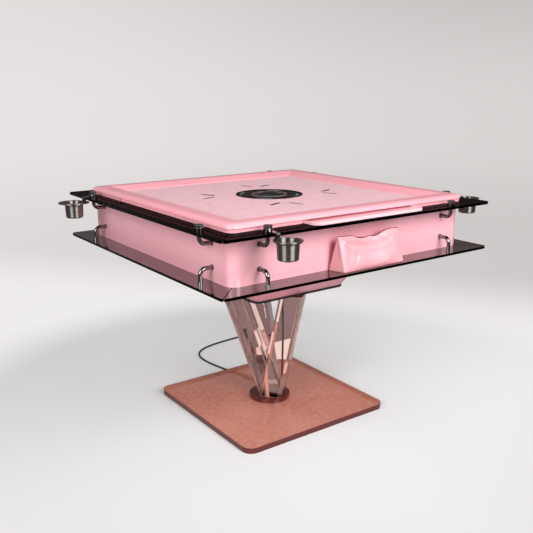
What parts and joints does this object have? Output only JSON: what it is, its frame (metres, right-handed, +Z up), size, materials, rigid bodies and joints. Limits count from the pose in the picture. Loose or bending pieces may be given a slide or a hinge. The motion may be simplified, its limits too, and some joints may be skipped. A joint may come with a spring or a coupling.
{
  "type": "automatic mahjong table",
  "caption": "Square pink game table with a rimmed cloth top, central console, chip trays, two glass shelves, steel cups and leaning clear acrylic legs on a square plate.",
  "frame": {"origin": "on the floor under the middle of the table", "axes": "+Z up; -Y is the side with the pouch and the open chip tray; +X is to the right seen from that side"},
  "size_m": [1.203, 1.2992, 0.765],
  "materials": {
    "acrylic_base": "tinted clear acrylic, polished",
    "acrylic_leg": "pink tinted clear acrylic, polished",
    "maroon_gloss": "gloss",
    "dark_metal": "satin",
    "pink_gloss": "gloss",
    "pink_satin": "satin",
    "pink_cloth": "short woven cloth",
    "pink_tray": "satin",
    "pink_leather": "soft, semi gloss",
    "steel_sheet": "plain",
    "cup_steel": "polished",
    "chrome": "polished",
    "dark_glass": "dark tinted, polished edges",
    "tinted_glass": "tinted, polished edges",
    "smoked_glass": "smoked clear",
    "black_gloss": "gloss",
    "black_plastic": "matt",
    "ivory_plastic": "gloss",
    "grey_plastic": "matt",
    "rubber_black": "matt",
    "cord_rubber": "satin",
    "aluminium_case": "cast",
    "board_green": "solder mask"
  },
  "bodies": {
    "table": {"base_plate": "acrylic_base", "hub_flange": "maroon_gloss", "hub_clamp_disc": "maroon_gloss", "leg_front": "acrylic_leg", "leg_left": "acrylic_leg", "leg_back": "acrylic_leg", "chassis_floor_plate": "dark_metal", "chassis_tub": "pink_gloss", "machine_base": "steel_sheet", "body_housing": "pink_gloss", "top_frame": "pink_satin", "playing_board": "pink_cloth", "upper_brackets": "chrome", "lower_brackets": "chrome", "bracket_cap_nuts": "chrome", "storage_pouch": "pink_leather", "console_sleeve": "steel_sheet", "drive_motor": "dark_metal", "drive_belt": "rubber_black", "power_supply": "aluminium_case", "control_board": "board_green", "cord_gland": "rubber_black", "power_cord": "cord_rubber", "cord_coil": "cord_rubber", "power_plug": "cord_rubber", "lower_glass_front": "tinted_glass", "upper_glass_front": "dark_glass", "lower_glass_right": "tinted_glass", "upper_glass_right": "dark_glass", "lower_glass_back": "tinted_glass", "upper_glass_back": "dark_glass", "lower_glass_left": "tinted_glass", "upper_glass_left": "dark_glass"},
    "console": {"console_housing": "black_plastic", "console_panel": "black_gloss", "console_dome": "smoked_glass", "console_dice": "ivory_plastic"},
    "turntable": {"shuffle_turntable": "grey_plastic"},
    "pulley": {"drive_pulley": "steel_sheet"},
    "button_front": {"console_button_front": "black_gloss"},
    "lift_front": {"lift_plate_front": "pink_cloth"},
    "tray_front": {"chip_tray_front": "pink_tray"},
    "arm_front": {"cup_arm_front": "chrome"},
    "cup_front": {"cup_front": "cup_steel"},
    "button_right": {"console_button_right": "black_gloss"},
    "lift_right": {"lift_plate_right": "pink_cloth"},
    "tray_right": {"chip_tray_right": "pink_tray"},
    "arm_right": {"cup_arm_right": "chrome"},
    "cup_right": {"cup_right": "cup_steel"},
    "button_back": {"console_button_back": "black_gloss"},
    "lift_back": {"lift_plate_back": "pink_cloth"},
    "tray_back": {"chip_tray_back": "pink_tray"},
    "arm_back": {"cup_arm_back": "chrome"},
    "cup_back": {"cup_back": "cup_steel"},
    "button_left": {"console_button_left": "black_gloss"},
    "lift_left": {"lift_plate_left": "pink_cloth"},
    "tray_left": {"chip_tray_left": "pink_tray"},
    "arm_left": {"cup_arm_left": "chrome"},
    "cup_left": {"cup_left": "cup_steel"}
  },
  "joints": [
    {"name": "console_lift", "type": "slide", "parent": "table", "child": "console", "axis": [0, 0, 1], "range_m": [0, 0.06]},
    {"name": "turntable_spin", "type": "hinge", "parent": "table", "child": "turntable", "pos_m": [0, 0, 0.655], "axis": [0, 0, 1], "continuous": true},
    {"name": "pulley_spin", "type": "hinge", "parent": "table", "child": "pulley", "pos_m": [0.12021, 0.12021, 0.64], "axis": [0, 0, 1], "continuous": true},
    {"name": "button_front_press", "type": "slide", "parent": "console", "child": "button_front", "axis": [0, 0, -1], "range_m": [0, 0.0015], "stiffness_N_per_m": 400, "springref_m": -0.0005},
    {"name": "lift_front_drop", "type": "slide", "parent": "table", "child": "lift_front", "axis": [0, 0, -1], "range_m": [0, 0.035]},
    {"name": "tray_front_slide", "type": "slide", "parent": "table", "child": "tray_front", "axis": [0, -1, 0], "range_m": [-0.055, 0.015]},
    {"name": "arm_front_swing", "type": "hinge", "parent": "table", "child": "arm_front", "pos_m": [-0.352, -0.48, 0.7438], "axis": [0, 0, 1], "range_deg": [-27, 23]},
    {"name": "cup_front_lift_out", "type": "slide", "parent": "arm_front", "child": "cup_front", "axis": [0, 0, 1], "range_m": [0, 0.09]},
    {"name": "button_right_press", "type": "slide", "parent": "console", "child": "button_right", "axis": [0, 0, -1], "range_m": [0, 0.0015], "stiffness_N_per_m": 400, "springref_m": -0.0005},
    {"name": "lift_right_drop", "type": "slide", "parent": "table", "child": "lift_right", "axis": [0, 0, -1], "range_m": [0, 0.035]},
    {"name": "tray_right_slide", "type": "slide", "parent": "table", "child": "tray_right", "axis": [1, 0, 0], "range_m": [0, 0.07]},
    {"name": "arm_right_swing", "type": "hinge", "parent": "table", "child": "arm_right", "pos_m": [0.48, -0.352, 0.7438], "axis": [0, 0, 1], "range_deg": [-5, 45]},
    {"name": "cup_right_lift_out", "type": "slide", "parent": "arm_right", "child": "cup_right", "axis": [0, 0, 1], "range_m": [0, 0.09]},
    {"name": "button_back_press", "type": "slide", "parent": "console", "child": "button_back", "axis": [0, 0, -1], "range_m": [0, 0.0015], "stiffness_N_per_m": 400, "springref_m": -0.0005},
    {"name": "lift_back_drop", "type": "slide", "parent": "table", "child": "lift_back", "axis": [0, 0, -1], "range_m": [0, 0.035]},
    {"name": "tray_back_slide", "type": "slide", "parent": "table", "child": "tray_back", "axis": [0, 1, 0], "range_m": [0, 0.07]},
    {"name": "arm_back_swing", "type": "hinge", "parent": "table", "child": "arm_back", "pos_m": [0.352, 0.48, 0.7438], "axis": [0, 0, 1], "range_deg": [-25, 25]},
    {"name": "cup_back_lift_out", "type": "slide", "parent": "arm_back", "child": "cup_back", "axis": [0, 0, 1], "range_m": [0, 0.09]},
    {"name": "button_left_press", "type": "slide", "parent": "console", "child": "button_left", "axis": [0, 0, -1], "range_m": [0, 0.0015], "stiffness_N_per_m": 400, "springref_m": -0.0005},
    {"name": "lift_left_drop", "type": "slide", "parent": "table", "child": "lift_left", "axis": [0, 0, -1], "range_m": [0, 0.035]},
    {"name": "tray_left_slide", "type": "slide", "parent": "table", "child": "tray_left", "axis": [-1, 0, 0], "range_m": [0, 0.07]},
    {"name": "arm_left_swing", "type": "hinge", "parent": "table", "child": "arm_left", "pos_m": [-0.48, 0.352, 0.7438], "axis": [0, 0, 1], "range_deg": [-36, 0]},
    {"name": "cup_left_lift_out", "type": "slide", "parent": "arm_left", "child": "cup_left", "axis": [0, 0, 1], "range_m": [0, 0.09]}
  ],
  "couplings": [
    {"joint": "pulley_spin", "follows": "turntable_spin", "ratio": 4.5},
    {"joint": "lift_right_drop", "follows": "lift_front_drop", "ratio": 1},
    {"joint": "lift_back_drop", "follows": "lift_front_drop", "ratio": 1},
    {"joint": "lift_left_drop", "follows": "lift_front_drop", "ratio": 1}
  ]
}
